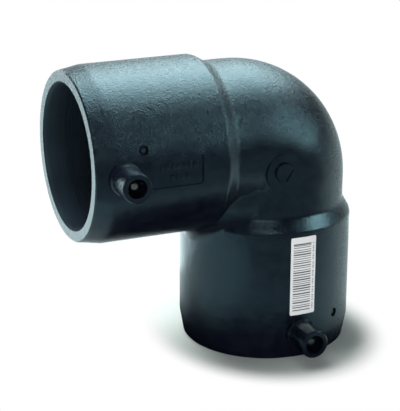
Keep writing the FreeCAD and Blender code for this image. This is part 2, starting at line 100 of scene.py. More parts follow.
# Lamps that light the surfaces and cards that only reflections see: place and sides in metres,
# power in watts
LIGHTS = {
    "overhead_light": ((-0.28, 0.34, 0.84), (0.80, 0.80), 16.0),
    "front_light": ((-0.30, -0.95, 0.24), (0.60, 0.40), 7.0),
}
CARDS = {
    "overhead_card": ((0.25, 0.31, 0.74), (0.70, 0.80), 17.0),
    "right_card": ((0.69, -0.48, 0.41), (0.30, 0.36), 4.4),
    "left_back_card": ((-0.40, 0.90, 0.16), (0.60, 0.30), 3.6),
}
SPARK_CARD = ((-0.36, -0.80, 0.50), (0.07, 0.07), 0.9)
LOW_CARD = ((-0.15, 0.30, 0.004), (0.60, 0.44), 1.35)
LAMP_AIM = Vector((-0.03, 0, 0.07))
CAMERA_AIM = Vector((-30.3, 0, 70.7)) * MM

# Surroundings, by a ray's direction: where the backdrop begins and is full, towards +Y and
# downwards, and where the room below begins and is full
BACKDROP_BEHIND = (0.55, 0.90)
BACKDROP_HEIGHT = (0.34, 0.10)
ROOM_BELOW = (0.0, -0.25)


# Properties


def number(name, description, value):
    return FloatProperty(name=name, description=description, default=value)


def length(name, description, millimetres):
    return FloatProperty(
        name=name,
        description=description,
        default=millimetres * MM,
        unit="LENGTH",
        subtype="DISTANCE",
    )


def angle(name, description, degrees):
    return FloatProperty(
        name=name,
        description=description,
        default=math.radians(degrees),
        unit="ROTATION",
        subtype="ANGLE",
    )


def colour(name, description, red, green, blue):
    return FloatVectorProperty(
        name=name,
        description=description,
        default=(red, green, blue),
        subtype="COLOR",
        min=0,
        max=1,
    )


class ElbowSizes(bpy.types.PropertyGroup):
    """Sizes of the pieces that dress the moulding."""

    leg: length("Leg", "Mouth of a socket to the axis of the other one", 96)
    wall: length("Inner wall", "Radius below which a face belongs to the bore", 34)
    winding_start: length("Winding start", "Mouth to the winding", 10.4)
    winding_length: length("Winding length", "Length of the winding along the bore", 37)
    winding_inside: length("Winding inside", "Inside radius of the winding", 32.05)
    wire: length("Wire", "Width of the coated wire", 1.26)
    wire_corner: length("Wire corner", "Rounded corner of the coated wire", 0.15)
    turns: IntProperty(name="Turns", description="Turns of the winding", default=28, min=2)
    pin: length("Contact", "Radius of the contact pin", 2)
    pin_foot: length("Contact foot", "Height of the contact pin's foot", 0.8)
    pin_stem: length("Stem", "Radius of the contact pin's stem", 1.18)
    pin_floor: length("Shroud floor", "Socket axis to the floor of the shroud", 41.5)
    indicator: length("Indicator", "Radius of the fusion indicator", 1.25)
    indicator_foot: length("Indicator foot", "Radius of the indicator's foot", 2.08)
    indicator_foot_height: length("Indicator foot height", "Height of the indicator's foot", 0.7)
    indicator_height: length("Indicator height", "Foot to tip of the indicator", 2.7)
    well_floor: length("Well floor", "Socket axis to the floor of the indicator well", 36)
    lower_well: length("Lower well", "Mouth to the lower well", 17.2)
    upper_well: length("Upper well", "Mouth to the upper well", 21.4)
    lower_well_angle: angle("Lower well angle", "From the terminal round the socket", 30)
    upper_well_angle: angle("Upper well angle", "From the terminal round the socket", 16)
    socket: length("Socket", "Outside radius of a socket", 39.4)
    film: length("Film", "Thickness of the label film", 0.15)
    film_corner: length("Film corner", "Corner radius of the label", 1.2)
    bar_field_left: length("Bar field left", "Left edge of the printed bars", -4.25)
    bar_field_right: length("Bar field right", "Right edge of the printed bars", 4.55)
    bar_field_bottom: length("Bar field bottom", "Lowest printed bar", 23.4)
    bar_field_top: length("Bar field top", "Highest printed bar", 55.4)
    bar_module: length("Bar module", "Width of the narrowest bar", 0.30)
    bar_tick_pitch: length("Tick pitch", "From one tick beside the bars to the next", 0.78)
    bar_tick_height: length("Tick height", "Height of a tick beside the bars", 0.34)
    bar_tick_long: length("Long tick", "Width of a long tick beside the bars", 0.75)
    bar_tick_short: length("Short tick", "Width of a short tick beside the bars", 0.45)
    bar_tick_inset: length("Tick inset", "Label's edge to the middle of the ticks", 1.25)
    panel_floor: length("Panel floor", "Mid plane to the floor of the sunk panel", 38.3)
    mark_start: length("Mark start", "Upper mouth to the first raised mark", 28.6)
    mark_rise: length("Mark rise", "How far the marks stand out of the panel", 0.28)
    mark_height: length("Mark height", "Height of a row of marks", 2.5)
    mark_gap: length("Mark gap", "From one raised mark to the next", 0.75)
    dial_centre: length("Dial centre", "Socket axes to the dial's centre", 7.7)
    dial_face: length("Dial face", "Mid plane to the face of the dial's pad", 36.1)
    dial_tick_start: length("Tick start", "Dial centre to the inner end of a tick", 6.2)
    dial_tick: length("Tick length", "Length of a tick on the dial", 1.1)
    dial_tick_width: length("Tick width", "Width of a tick on the dial", 0.34)
    dial_tick_depth: length("Tick depth", "Depth of a tick, half of it in the pad", 0.24)


class ElbowColours(bpy.types.PropertyGroup):
    """Colours of the finishes."""

    moulding: colour("Moulding", "Black polyethylene", 0.0027, 0.0031, 0.0085)
    worn: colour("Rubbed moulding", "Polyethylene where it is rubbed grey", 0.012, 0.017, 0.024)
    bore: colour("Bore", "Polyethylene in the bore", 0.013, 0.020, 0.028)
    coating: colour("Wire coating", "Coated winding wire", 0.0030, 0.0042, 0.0070)
    # Contact colour: the plating, darkened to paint the shade inside the shroud
    contact: colour("Contact", "Plated contact pin", 0.30, 0.30, 0.29)
    link: colour("Link", "Wire that joins the windings", 0.60, 0.42, 0.26)
    film: colour("Label film", "White label film", 0.86, 0.87, 0.88)
    ink: colour("Label ink", "Dark grey print", 0.045, 0.046, 0.052)
    # Floor colour: darker than the white beyond, so near the object it paints a grey-green shadow
    # halo round the base, on top of the real shadow
    floor: colour("Floor", "Studio floor", 0.66, 0.74, 0.71)
    reflection: colour("Reflection", "Tint of reflections on the moulding", 0.52, 0.90, 1.0)
    card: colour("Card", "Tint of what reflections see", 0.80, 0.97, 1.0)


class ElbowStage(bpy.types.PropertyGroup):
    """Camera, floor and surroundings."""

    azimuth: angle("Azimuth", "Camera direction round the object, from the front", -23.45)
    elevation: angle("Elevation", "Camera height above the floor", 18.93)
    roll: angle("Roll", "Turn of the camera about its own line of sight", 0.21)
    distance: length("Distance", "Camera to the object", 713.4)
    aside: length("Aside", "Camera moved to its right", -2.14)
    above: length("Above", "Camera moved up in its own frame", -5.55)
    lens: number("Lens", "Focal length in millimetres", 137.2)
    sensor: number("Sensor", "Sensor size in millimetres", 36)
    near: length("Near", "Nearest distance that the camera sees", 10)
    dim: number("Dim", "Strength of the surroundings away from the backdrop", 0.04)
    front_room: number("Front room", "Strength of the room below the table", 0.25)
    floor_size: length("Floor size", "Side of the floor", 9000)
    floor_front: length("Floor front", "The lower socket's axis to the floor's front edge", 120)
    # Where the camera sees the matt floor: its real shadow and a painted shadow halo, squeezed
    # sideways, that fades to white further out
    shadow_start: length("Shadow start", "Radius within which the floor shows its shadow", 50)
    shadow_end: length("Shadow end", "Radius beyond which the floor is plain white", 70)
    shadow_squeeze: number("Shadow squeeze", "The shadow's depth over its width", 1.22)
    # What reflections see in the floor: white, with painted shadow near the object and a painted
    # shadow strip shifted to the left
    floor_glow: number("Floor white", "White that reflections see in the table", 1.0)
    glow_start: length("Glow start", "Distance at which that white begins", 34)
    glow_end: length("Glow end", "Distance at which that white is full", 76)
    painted_shadow_aside: length("Shade aside", "Shift of the dark strip on the floor to the left", 24)
    front_glow: number("Front white", "Share of that white in front", 0.6)
    front_end: length("Front end", "Distance at which the white in front is full", 104)


# Finishes


class Wire:
    """One value in a finish, ready for plain arithmetic."""

    def __init__(self, nodes, socket):
        self.nodes = nodes
        self.socket = socket

    def _math(self, operation, first, second):
        return self.nodes.node("ShaderNodeMath", {"operation": operation}, {0: first, 1: second})

    def __add__(self, other):
        return self._math("ADD", self, other)

    def __radd__(self, other):
        return self._math("ADD", other, self)

    def __sub__(self, other):
        return self._math("SUBTRACT", self, other)

    def __rsub__(self, other):
        return self._math("SUBTRACT", other, self)

    def __mul__(self, other):
        return self._math("MULTIPLY", self, other)

    def __rmul__(self, other):
        return self._math("MULTIPLY", other, self)

    def either(self, other):
        return self._math("MAXIMUM", self, other)

    def size(self):
        return self._math("ABSOLUTE", self, 0.0)


class Nodes:
    """The nodes of one material or of the world."""

    def __init__(self, tree):
        self.tree = tree

    def node(self, kind, settings, sockets, output=0):
        """Adds a node with its settings and socket values, and gives one of its outputs."""
        made = self.tree.nodes.new(kind)
        for name, value in settings.items():
            setattr(made, name, value)
        for key, value in sockets.items():
            if isinstance(value, Wire):
                self.tree.links.new(value.socket, made.inputs[key])
            else:
                made.inputs[key].default_value = value
        return Wire(self, made.outputs[output])

    def ray(self, kind):
        """One for rays of this kind, such as Camera."""
        return self.node("ShaderNodeLightPath", {}, {}, f"Is {kind} Ray")

    def blend(self, share, first, second):
        """Mixes two colours."""
        first, second = (
            item if isinstance(item, Wire) else (*item, 1.0) for item in (first, second)
        )
        sockets = {0: share, 6: first, 7: second}
        return self.node("ShaderNodeMix", {"data_type": "RGBA"}, sockets, 2)

    def along(self, place, axis):
        """One part of a vector."""
        return self.node("ShaderNodeSeparateXYZ", {}, {0: place}, axis)

    def reach(self, place):
        """The length of a vector."""
        return self.node("ShaderNodeVectorMath", {"operation": "LENGTH"}, {0: place}, "Value")

    def fade(self, value, low, high):
        """Rises softly from nothing at low to one at high."""
        settings = {"interpolation_type": "SMOOTHSTEP"}
        sockets = {"Value": value, "From Min": low, "From Max": high}
        return self.node("ShaderNodeMapRange", settings, sockets)


class Finish(Nodes):
    """A material with a principled shader."""

    def __init__(self, name, **constants):
        self.material = bpy.data.materials.new(name)
        self.material.use_nodes = True
        super().__init__(self.material.node_tree)
        self.shader = self.tree.nodes["Principled BSDF"]
        for key, value in constants.items():
            self.shader.inputs[key.replace("_", " ")].default_value = value

    def feed(self, socket, wire):
        self.tree.links.new(wire.socket, self.shader.inputs[socket])

    def place(self):
        """Object coordinates in millimetres."""
        here = self.node("ShaderNodeTexCoord", {}, {}, "Object")
        return self.node("ShaderNodeVectorMath", {"operation": "SCALE"}, {0: here, "Scale": 1 / MM})

    def stretched(self, place, x=1.0, y=1.0, z=1.0):
        return self.node("ShaderNodeMapping", {}, {"Vector": place, "Scale": (x, y, z)})

    def noise(self, place, grain, detail=2.0, rough=0.5):
        """Noise whose features are about one grain wide, in millimetres."""
        sockets = {"Vector": place, "Scale": 1 / grain, "Detail": detail, "Roughness": rough}
        return self.node("ShaderNodeTexNoise", {}, sockets)

    def pebbles(self, place, grain):
        """Rounded cells about one grain wide, in millimetres."""
        settings = {"feature": "SMOOTH_F1"}
        sockets = {"Vector": place, "Scale": 1 / grain, "Smoothness": 0.6}
        return self.node("ShaderNodeTexVoronoi", settings, sockets)

    def relief(self, height, depth):
        """Raises the surface by a height, times a depth in millimetres."""
        bump = self.node("ShaderNodeBump", {}, {"Height": height, "Distance": depth * MM})
        self.feed("Normal", bump)


def outside_finish(colours):
    """Spark-eroded polyethylene: pebbled on top and on the right, smoother below."""
    tint = (*colours.reflection, 1.0)
    finish = Finish("spark_eroded_polyethylene", IOR=1.52, Specular_Tint=tint)
    place = finish.place()
    x, y, z = (finish.along(place, axis) for axis in "XYZ")
    patches = finish.noise(place, 14, 2)
    clouds = finish.noise(place, 5, 3, 0.6)
    upper = finish.fade(z + patches * 14, 96, 118)
    flank = finish.fade(x + patches * 12, 8, 32) * 0.95
    shoulder = finish.fade((z - 60).size(), 10, 3) * 0.45
    rear = finish.fade(y + patches * 8, 0, 30) * 0.7
    strength = 0.16 + 0.84 * upper.either(flank).either(rear).either(shoulder)
    grain = finish.noise(place, 0.60, 2.5, 0.66)
    pits = finish.pebbles(place, 0.85)
    swell = finish.noise(place, 4.5, 1)
    parting = finish.fade(y.size(), 0.22, 0.06) * 0.35
    height = strength * (0.75 * grain + 0.45 * pits) + 0.35 * swell + parting
    finish.relief(height, 0.31)
    scuff = finish.noise(finish.stretched(place, 0.25, 1.0, 2.2), 1.4, 3, 0.7)
    rubbed = finish.fade(scuff, 0.62, 0.78) * finish.fade(clouds, 0.45, 0.7)
    tone = finish.blend(finish.fade(clouds, 0.3, 0.7) * 0.35, colours.moulding, colours.worn)
    finish.feed("Base Color", finish.blend(rubbed * 0.5, tone, colours.worn))
    finish.feed("Roughness", 0.19 + 0.07 * clouds + 0.05 * strength - 0.03 * rubbed)
    return finish.material


def bore_finish(colours, name, axis):
    """Smooth polyethylene of a bore, with faint turning streaks round the axis."""
    finish = Finish(name, IOR=1.52, Specular_Tint=(*colours.reflection, 1.0))
    place = finish.place()
    squeeze = {"x": 0.04, "y": 0.04, "z": 0.04} | {axis: 1.0}
    streaks = finish.noise(finish.stretched(place, **squeeze), 1.2, 3, 0.65)
    cloud = finish.noise(place, 9, 2)
    finish.relief(streaks, 0.10)
    finish.feed("Base Color", finish.blend(streaks * 0.6, colours.bore, colours.moulding))
    finish.feed("Roughness", 0.36 + 0.14 * cloud + 0.10 * streaks)
    return finish.material


def coating_finish(colours):
    """Plastic-coated winding wire."""
    finish = Finish("wire_coating", IOR=1.5, Specular_Tint=(*colours.reflection, 1.0))
    place = finish.place()
    turns = finish.noise(place, 2.2, 2)
    skin = finish.noise(place, 0.3, 2)
    finish.relief(skin, 0.02)
    finish.feed("Base Color", finish.blend(turns, colours.coating, colours.bore))
    finish.feed("Roughness", 0.40 + 0.16 * turns)
    return finish.material


def plated_finish(name, tint):
    """Plated metal with fine turning marks."""
    finish = Finish(name, Metallic=1.0)
    place = finish.place()
    marks = finish.noise(finish.stretched(place, 0.3, 4.0, 0.3), 0.5, 2)
    spots = finish.noise(place, 1.6, 3, 0.6)
    dull = tuple(0.62 * part for part in tint)
    finish.relief(marks, 0.015)
    finish.feed("Base Color", finish.blend(finish.fade(spots, 0.5, 0.75) * 0.6, tint, dull))
    finish.feed("Roughness", 0.20 + 0.14 * marks + 0.08 * spots)
    return finish.material


def film_finish(colours):
    """Satin label film, a little uneven where it is pressed on."""
    finish = Finish("label_film_white")
    place = finish.place()
    cloud = finish.noise(place, 6, 3)
    fibres = finish.noise(place, 0.35, 2)
    shade = tuple(0.94 * part for part in colours.film)
    finish.relief(cloud + 0.15 * fibres, 0.05)
    finish.feed("Base Color", finish.blend(cloud, colours.film, shade))
    finish.feed("Roughness", 0.42 + 0.12 * fibres)
    return finish.material


def ink_finish(colours):
    """Dark grey thermal print."""
    finish = Finish("label_print")
    place = finish.place()
    speckle = finish.noise(place, 0.25, 2)
    paler = tuple(1.9 * part for part in colours.ink)
    finish.feed("Base Color", finish.blend(finish.fade(speckle, 0.5, 0.8), colours.ink, paler))
    finish.feed("Roughness", 0.45 + 0.1 * speckle)
    return finish.material


# Modelling


def clear_selection():
    bpy.ops.object.select_all(action="DESELECT")


def take(piece):
    """Makes a piece the only one that operators act on."""
    clear_selection()
    piece.select_set(True)
    bpy.context.view_layer.objects.active = piece


def fix_place(piece, matrix):
    """Puts a piece's place into its mesh."""
    take(piece)
    piece.matrix_world = matrix
    bpy.ops.object.transform_apply(location=True, rotation=True, scale=True)


def close_up(piece):
    """Merges doubles and turns all faces outwards."""
    take(piece)
    bpy.ops.object.mode_set(mode="EDIT")
    bpy.ops.mesh.select_all(action="SELECT")
    bpy.ops.mesh.remove_doubles(threshold=0.002 * MM)
    bpy.ops.mesh.normals_make_consistent(inside=False)
    bpy.ops.object.mode_set(mode="OBJECT")


def soften(piece):
    """Rounds a turned piece's edges and shades it smoothly."""
    take(piece)
    bevel = piece.modifiers.new("edges", "BEVEL")
    bevel.width = TURNED_EDGE
    bevel.segments = TURNED_EDGE_STEPS
    bevel.limit_method = "ANGLE"
    bevel.angle_limit = TURNED_EDGE_ANGLE
    bpy.ops.object.modifier_apply(modifier=bevel.name)
    bpy.ops.object.shade_smooth_by_angle(angle=SHADE_ANGLE)


def mount(piece, slot, *materials, node=None):
    """Gives a piece its materials, hangs it under the body and hides the part that it replaces."""
    piece.data.materials.clear()
    for material in materials:
        piece.data.materials.append(material)
    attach(piece, BODY)
    if node:
        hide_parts(node)


def turned_piece(name, rings, sides=64):
    """Builds a turned piece upwards from a disc. Each ring is a radius and a height."""
    clear_selection()
    (radius, height), *others = rings
    bpy.ops.mesh.primitive_circle_add(
        vertices=sides, radius=radius, fill_type="NGON", location=(0, 0, height)
    )
    piece = bpy.context.object
    piece.name = name
    fix_place(piece, piece.matrix_world.copy())
    bpy.ops.object.mode_set(mode="EDIT")
    bpy.ops.mesh.select_all(action="SELECT")
    for next_radius, next_height in others:
        bpy.ops.mesh.extrude_region_move(
            TRANSFORM_OT_translate={"value": (0, 0, next_height - height)}
        )
        factor = next_radius / radius
        bpy.ops.transform.resize(
            value=(factor, factor, 1), center_override=(0, 0, next_height)
        )
        radius, height = next_radius, next_height
    bpy.ops.object.mode_set(mode="OBJECT")
    close_up(piece)
    return piece


def dome(shape, radius, tip):
    """The rings of a turned piece's domed end."""
    return [(share * radius, tip - depth * radius) for share, depth in shape]


def block(name, centre, sides, corner, turn=0.0):
    """A small raised block that faces -Y, with soft edges, turned about Y."""
    clear_selection()
    bpy.ops.mesh.primitive_cube_add(size=1)
    piece = bpy.context.object
    piece.name = name
    fix_place(piece, Matrix.Diagonal((*sides, 1)))
    bpy.ops.object.mode_set(mode="EDIT")
    bpy.ops.mesh.select_all(action="SELECT")
    bpy.ops.mesh.bevel(offset=corner, segments=2, affect="EDGES")
    bpy.ops.object.mode_set(mode="OBJECT")
    fix_place(piece, Matrix.Translation(centre) @ Matrix.Rotation(turn, 4, "Y"))
    bpy.ops.object.shade_smooth_by_angle(angle=SHADE_ANGLE)
    return piece


def join(name, pieces):
    take(pieces[0])
    for piece in pieces:
        piece.select_set(True)
    bpy.ops.object.join()
    pieces[0].name = name
    return pieces[0]


def leg_frame(leg, sizes):
    """From a leg's own frame, whose +Z runs inwards from the mouth, to the object's."""
    if leg == "lower":
        return Matrix.Identity(4)
    return Matrix.Translation((-sizes.leg, 0, sizes.leg)) @ Matrix.Rotation(RIGHT_ANGLE, 4, "Y")


class ELBOW_OT_moulding(bpy.types.Operator):
    """Joins the moulding's faces into one smooth skin and gives it its finishes"""

    bl_idname = "elbow.moulding"
    bl_label = "Moulding"

    def execute(self, context):
        sizes, colours = context.scene.elbow_sizes, context.scene.elbow_colours
        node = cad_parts["elbow_body"]
        piece = bpy.data.objects.new("moulding_skin", node.data.copy())
        context.scene.collection.objects.link(piece)
        take(piece)
        bpy.ops.object.mode_set(mode="EDIT")
        bpy.ops.mesh.select_all(action="SELECT")
        bpy.ops.mesh.remove_doubles(threshold=0.001 * MM)
        bpy.ops.object.mode_set(mode="OBJECT")
        bpy.ops.mesh.customdata_custom_splitnormals_clear()
        bpy.ops.object.shade_smooth_by_angle(angle=SKIN_ANGLE)
        weighted = piece.modifiers.new("face_weight", "WEIGHTED_NORMAL")
        weighted.keep_sharp = True
        weighted.weight = SKIN_WEIGHT
        bpy.ops.object.modifier_apply(modifier=weighted.name)
        mount(
            piece,
            "black_polyethylene",
            outside_finish(colours),
            bore_finish(colours, "lower_bore_polyethylene", "z"),
            bore_finish(colours, "upper_bore_polyethylene", "x"),
            node="elbow_body",
        )
        for face in piece.data.polygons:
            face.material_index = self.lining(face, sizes)
        return {"FINISHED"}

    @staticmethod
    def lining(face, sizes):
        """0 outside, 1 in the lower bore, 2 in the upper bore."""
        x, y, z = face.center
        rise = z - sizes.leg
        if rise < x:
            slot, from_axis = 1, Vector((x, y, 0))
        else:
            slot, from_axis = 2, Vector((0, y, rise))
        inwards = face.normal.dot(from_axis) < 0
        return slot if inwards and from_axis.length < sizes.wall else 0


class ELBOW_OT_windings(bpy.types.Operator):
    """Winds the coated wire of both sockets, turn against turn"""

    bl_idname = "elbow.windings"
    bl_label = "Windings"

    def execute(self, context):
        sizes = context.scene.elbow_sizes
        coating = coating_finish(context.scene.elbow_colours)
        for leg in LEGS:
            clear_selection()
            bpy.ops.mesh.primitive_plane_add(size=sizes.wire)
            piece = context.object
            piece.name = f"winding_{leg}"
            bpy.ops.object.mode_set(mode="EDIT")
            bpy.ops.mesh.select_all(action="SELECT")
            bpy.ops.mesh.bevel(offset=sizes.wire_corner, segments=3, affect="VERTICES")
            bpy.ops.mesh.delete(type="ONLY_FACE")
            bpy.ops.object.mode_set(mode="OBJECT")
            middle = sizes.winding_inside + sizes.wire / 2
            first = sizes.winding_start + sizes.wire / 2
            start = Matrix.Translation((middle, 0, first))
            fix_place(piece, start @ Matrix.Rotation(RIGHT_ANGLE, 4, "X"))
            screw = piece.modifiers.new("turns", "SCREW")
            screw.screw_offset = (sizes.winding_length - sizes.wire) / sizes.turns
            screw.iterations = sizes.turns
            screw.steps = screw.render_steps = WIRE_STEPS
            bpy.ops.object.modifier_apply(modifier=screw.name)
            bpy.ops.object.mode_set(mode="EDIT")
            bpy.ops.mesh.select_all(action="SELECT")
            bpy.ops.mesh.fill_holes(sides=0)
            bpy.ops.object.mode_set(mode="OBJECT")
            close_up(piece)
            bpy.ops.object.shade_smooth_by_angle(angle=SHADE_ANGLE)
            fix_place(piece, leg_frame(leg, sizes))
            mount(piece, "coated_wire", coating, node=f"heating_coil_{leg}")
        return {"FINISHED"}


class ELBOW_OT_contact_pins(bpy.types.Operator):
    """Turns the contact pins that stand in the shrouds"""

    bl_idname = "elbow.contact_pins"
    bl_label = "Contact pins"

    def execute(self, context):
        sizes, colours = context.scene.elbow_sizes, context.scene.elbow_colours
        # The pins' colour is plating with painted shade of the shroud on top
        plating = plated_finish("plated_contact", tuple(colours.contact))
        for leg in LEGS:
            low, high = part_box(f"contact_pin_{leg}")
            tip = -low.y - sizes.pin_floor
            root = -high.y - sizes.pin_floor
            foot = (high.x - low.x) / 2
            piece = turned_piece(
                f"contact_{leg}",
                [
                    (sizes.pin_stem, root),
                    (sizes.pin_stem, 0),
                    (foot, 0),
                    (foot, sizes.pin_foot),
                    (sizes.pin, sizes.pin_foot),
                    *dome(CONTACT_DOME, sizes.pin, tip),
                ],
            )
            soften(piece)
            middle = (low + high) / 2
            standing = Matrix.Translation((middle.x, -sizes.pin_floor, middle.z))
            fix_place(piece, standing @ Matrix.Rotation(RIGHT_ANGLE, 4, "X"))
            mount(piece, "plated_pin", plating, node=f"contact_pin_{leg}")
        return {"FINISHED"}


class ELBOW_OT_fusion_indicators(bpy.types.Operator):
    """Moulds the fusion indicators in their wells"""

    bl_idname = "elbow.fusion_indicators"
    bl_label = "Fusion indicators"

    def execute(self, context):
        sizes, colours = context.scene.elbow_sizes, context.scene.elbow_colours
        plastic = coating_finish(colours)
        plastic.name = "indicator_polyethylene"
        for leg in LEGS:
            piece = turned_piece(
                f"indicator_{leg}",
                [
                    (sizes.indicator_foot, 0),
                    (sizes.indicator_foot, sizes.indicator_foot_height),
                    (sizes.indicator, sizes.indicator_foot_height),
                    *dome(INDICATOR_DOME, sizes.indicator, sizes.indicator_height),
                ],
                sides=48,
            )
            soften(piece)
            lift = Matrix.Translation((0, 0, sizes.well_floor))
            upright = Matrix.Rotation(RIGHT_ANGLE, 4, "X") @ lift
            if leg == "lower":
                around = Matrix.Rotation(sizes.lower_well_angle, 4, "Z")
                along = Matrix.Translation((0, 0, sizes.lower_well))
            else:
                around = Matrix.Rotation(-sizes.upper_well_angle, 4, "X")
                along = Matrix.Translation((sizes.upper_well - sizes.leg, 0, sizes.leg))
            fix_place(piece, along @ around @ upright)
            mount(piece, "black_polyethylene", plastic, node=f"fusion_indicator_{leg}")
        return {"FINISHED"}


class ELBOW_OT_link(bpy.types.Operator):
    """Gives the wire that joins the windings its finish"""

    bl_idname = "elbow.link"
    bl_label = "Link wire"

    def execute(self, context):
        colours = context.scene.elbow_colours
        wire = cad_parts["coil_link_wire"]
        wire.data.materials.clear()
        wire.data.materials.append(plated_finish("link_metal", tuple(colours.link)))
        return {"FINISHED"}


class ELBOW_OT_label(bpy.types.Operator):
    """Cuts the label film, prints plain bars on it and wraps it on the lower socket"""

    bl_idname = "elbow.label"
    bl_label = "Label"

    def execute(self, context):
        sizes, colours = context.scene.elbow_sizes, context.scene.elbow_colours
        low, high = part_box("barcode_label")
        film, ink = film_finish(colours), ink_finish(colours)
        piece = self.sheet(low, high, sizes)
        bars = self.bars(sizes)
        self.cut(sorted({edge for bar in bars for edge in bar}), (0, 0, 1))
        span, columns = high.x - low.x, LABEL_COLUMNS
        across = [low.x + span * i / columns for i in range(1, columns)]
        self.cut([*across, sizes.bar_field_left, sizes.bar_field_right], (1, 0, 0))
        bpy.ops.object.mode_set(mode="OBJECT")
        mount(piece, "label_film", film, ink, node="barcode_label")
        for face in piece.data.polygons:
            x, z = face.center.x, face.center.z
            printed = sizes.bar_field_left < x < sizes.bar_field_right
            face.material_index = int(printed and any(a < z < b for a, b in bars))
        self.wrap(piece, sizes.socket + sizes.film)
        take(piece)
        solid = piece.modifiers.new("film", "SOLIDIFY")
        solid.thickness = FILM_SHARE * sizes.film
        solid.offset = -1
        bpy.ops.object.modifier_apply(modifier=solid.name)
        bpy.ops.object.shade_smooth_by_angle(angle=SHADE_ANGLE)
        self.ticks(high, sizes, ink)
        return {"FINISHED"}

    @staticmethod
    def sheet(low, high, sizes):
        """A flat sheet with round corners, standing in the mid plane and left in edit mode."""
        clear_selection()
        bpy.ops.mesh.primitive_plane_add(size=1)
        piece = bpy.context.object
        piece.name = "traceability_label"
        scale = Matrix.Diagonal((high.x - low.x, high.z - low.z, 1, 1))
        middle = Matrix.Translation(((low.x + high.x) / 2, 0, (low.z + high.z) / 2))
        fix_place(piece, middle @ Matrix.Rotation(RIGHT_ANGLE, 4, "X") @ scale)
        bpy.ops.object.mode_set(mode="EDIT")
        bpy.ops.mesh.select_all(action="SELECT")
        bpy.ops.mesh.bevel(
            offset=CORNER_SHARE * sizes.film_corner, segments=5, affect="VERTICES"
        )
        return piece

    @staticmethod
    def cut(places, normal):
        """Cuts the sheet across at each place along an axis."""
        for place in places:
            bpy.ops.mesh.select_all(action="SELECT")
            bpy.ops.mesh.bisect(plane_co=Vector(normal) * place, plane_no=normal)

    @staticmethod
    def bars(sizes):
        """Plain bars of mixed widths, each as its lower and upper edge."""
        chance = random.Random(BAR_SEED)
        bars, place = [], sizes.bar_field_bottom
        while place < sizes.bar_field_top - 3 * sizes.bar_module:
            width = sizes.bar_module * chance.choice(BAR_WIDTHS)
            bars.append((place, place + width))
            place += width + sizes.bar_module * chance.choice(BAR_GAPS)
        bars.append((sizes.bar_field_top - 2 * sizes.bar_module, sizes.bar_field_top))
        return bars

    @staticmethod
    def wrap(piece, radius):
        """Lays a flat piece on a cylinder round the lower socket's axis."""
        for vertex in piece.data.vertices:
            vertex.co.y = -math.sqrt(radius**2 - vertex.co.x**2)

    def ticks(self, high, sizes, ink):
        """A column of ticks beside the bars, in groups of four."""
        marks = []
        pitch = sizes.bar_tick_pitch
        count = int((sizes.bar_field_top - sizes.bar_field_bottom) / pitch)
        for i in range(count):
            if i % 5 == 4:
                continue
            clear_selection()
            bpy.ops.mesh.primitive_plane_add(size=1)
            tick = bpy.context.object
            width = sizes.bar_tick_long if i % 3 else sizes.bar_tick_short
            scale = Matrix.Diagonal((width, sizes.bar_tick_height, 1, 1))
            height = sizes.bar_field_bottom + (i + 0.5) * pitch
            middle = Matrix.Translation((high.x - sizes.bar_tick_inset, 0, height))
            fix_place(tick, middle @ Matrix.Rotation(RIGHT_ANGLE, 4, "X") @ scale)
            marks.append(tick)
        piece = join("label_ticks", marks)
        self.wrap(piece, sizes.socket + sizes.film + PRINT_LIFT)
        mount(piece, "label_film", ink)


class ELBOW_OT_panel_marks(bpy.types.Operator):
    """Raises two rows of plain marks on the floor of the sunk panel"""

    bl_idname = "elbow.panel_marks"
    bl_label = "Panel marks"

    def execute(self, context):
        sizes, colours = context.scene.elbow_sizes, context.scene.elbow_colours
        marks = []
        for height, shift, widths in MARK_ROWS:
            place = sizes.mark_start + shift * MM - sizes.leg
            level = sizes.leg + height * MM
            for millimetres in widths:
                width = millimetres * MM
                centre = (place + width / 2, -sizes.panel_floor, level)
                sides = (width, 2 * sizes.mark_rise, sizes.mark_height)
                marks.append(block("panel_mark", centre, sides, MARK_CORNER))
                place += width + sizes.mark_gap
        piece = join("panel_marks", marks)
        mount(piece, "black_polyethylene", outside_finish(colours))
        return {"FINISHED"}


class ELBOW_OT_dial_marks(bpy.types.Operator):
    """Raises a ring of ticks on the dial's pad"""

    bl_idname = "elbow.dial_marks"
    bl_label = "Dial marks"

    def execute(self, context):
        sizes, colours = context.scene.elbow_sizes, context.scene.elbow_colours
        marks = []
        for i in range(DIAL_TICKS):
            turn = 2 * math.pi * i / DIAL_TICKS
            reach = sizes.dial_tick_start + sizes.dial_tick / 2
            centre = (
                -sizes.dial_centre + reach * math.sin(turn),
                -sizes.dial_face,
                sizes.leg - sizes.dial_centre + reach * math.cos(turn),
            )
            sides = (sizes.dial_tick_width, sizes.dial_tick_depth, sizes.dial_tick)
            marks.append(block("dial_tick", centre, sides, DIAL_TICK_CORNER, turn))
        piece = join("dial_ticks", marks)
        mount(piece, "black_polyethylene", outside_finish(colours))
        return {"FINISHED"}


